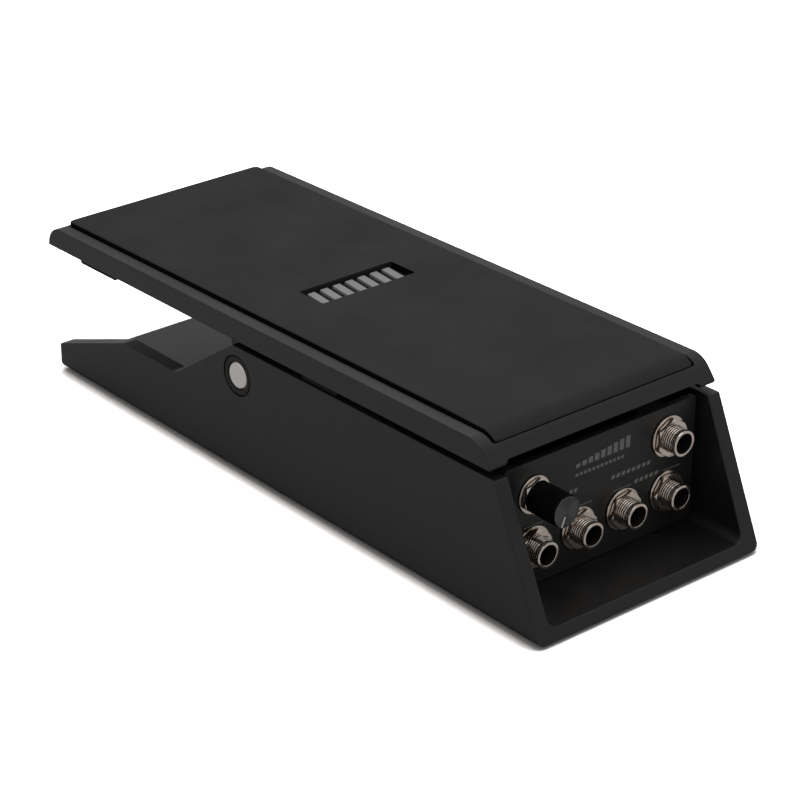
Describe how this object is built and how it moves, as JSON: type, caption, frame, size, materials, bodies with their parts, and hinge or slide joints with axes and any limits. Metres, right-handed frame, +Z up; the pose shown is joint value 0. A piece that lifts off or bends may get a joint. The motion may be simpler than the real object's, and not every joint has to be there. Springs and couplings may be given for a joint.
{
  "type": "volume pedal",
  "caption": "Foot-operated rocker pedal: a cast channel base, a hinged foot plate with a rubber mat, a jack panel at the toe and a sector gear that turns a volume potentiometer.",
  "frame": {"origin": "on the floor, under the middle of the pedal", "axes": "+X towards the side of the expression jack (the right side when facing the jack panel), +Y from the toe end to the heel end, +Z up"},
  "size_m": [0.108, 0.2911, 0.0675],
  "materials": {
    "cast_paint": "cast metal under fine-textured satin black paint",
    "black_paint": "fine-textured black paint, satin",
    "black_rubber": "matt moulded rubber",
    "nickel": "bright nickel plate",
    "steel": "turned steel",
    "black_plastic": "matt moulded plastic",
    "knob_plastic": "black, knurled side and spun face",
    "white_plastic": "natural acetal",
    "badge_grey": "satin grey",
    "board_green": "lacquered circuit board",
    "cable_grey": "soft cable sheath"
  },
  "bodies": {
    "base": {"base_channel": "cast_paint", "jack_panel": "black_paint", "rubber_foot_toe_left": "black_rubber", "rubber_foot_toe_right": "black_rubber", "rubber_foot_heel_left": "black_rubber", "rubber_foot_heel_right": "black_rubber", "input_jack_outer_bushing": "nickel", "input_jack_outer_nut": "nickel", "input_jack_outer_washer": "nickel", "input_jack_outer_body": "black_plastic", "input_jack_inner_bushing": "nickel", "input_jack_inner_nut": "nickel", "input_jack_inner_washer": "nickel", "input_jack_inner_body": "black_plastic", "output_jack_inner_bushing": "nickel", "output_jack_inner_nut": "nickel", "output_jack_inner_washer": "nickel", "output_jack_inner_body": "black_plastic", "output_jack_outer_bushing": "nickel", "output_jack_outer_nut": "nickel", "output_jack_outer_washer": "nickel", "output_jack_outer_body": "black_plastic", "expression_jack_bushing": "nickel", "expression_jack_nut": "nickel", "expression_jack_washer": "nickel", "expression_jack_body": "black_plastic", "minimum_volume_pot": "nickel", "minimum_volume_nut": "nickel", "minimum_volume_washer": "nickel", "volume_pot_nut": "nickel", "volume_pot": "steel", "pot_bracket": "steel", "pot_bracket_screw_toe": "steel", "pot_bracket_screw_heel": "steel", "jack_panel_screw_left": "steel", "jack_panel_screw_right": "steel", "pivot_bushing_left": "black_plastic", "pivot_bushing_right": "black_plastic", "circuit_board": "board_green", "pot_cable": "cable_grey"},
    "treadle": {"treadle": "cast_paint", "tread_mat": "black_rubber", "mat_badge": "badge_grey", "pivot_shaft": "steel", "shaft_set_screw_left": "steel", "shaft_set_screw_right": "steel", "sector_gear": "white_plastic", "sector_screw_left": "steel", "sector_screw_right": "steel", "heel_stop_pad_left": "black_rubber", "heel_stop_pad_right": "black_rubber", "toe_stop_pad_left": "black_rubber", "toe_stop_pad_right": "black_rubber"},
    "volume_pot_rotor": {"pinion_gear": "white_plastic", "volume_shaft": "steel"},
    "minimum_volume_rotor": {"minimum_volume_knob": "knob_plastic", "minimum_volume_shaft": "steel"}
  },
  "joints": [
    {"name": "treadle_rock", "type": "hinge", "parent": "base", "child": "treadle", "pos_m": [0, 0.0211, 0.0417], "axis": [-1, 0, 0], "range_deg": [0, 18.5]},
    {"name": "volume_pot_turn", "type": "hinge", "parent": "base", "child": "volume_pot_rotor", "pos_m": [0, -0.0429, 0.0417], "axis": [1, 0, 0], "range_deg": [0, 129.5]},
    {"name": "minimum_volume_turn", "type": "hinge", "parent": "base", "child": "minimum_volume_rotor", "pos_m": [-0.0324, -0.135, 0.042], "axis": [0, 1, 0], "range_deg": [0, 300]}
  ],
  "couplings": [
    {"joint": "volume_pot_turn", "follows": "treadle_rock", "ratio": 7}
  ]
}
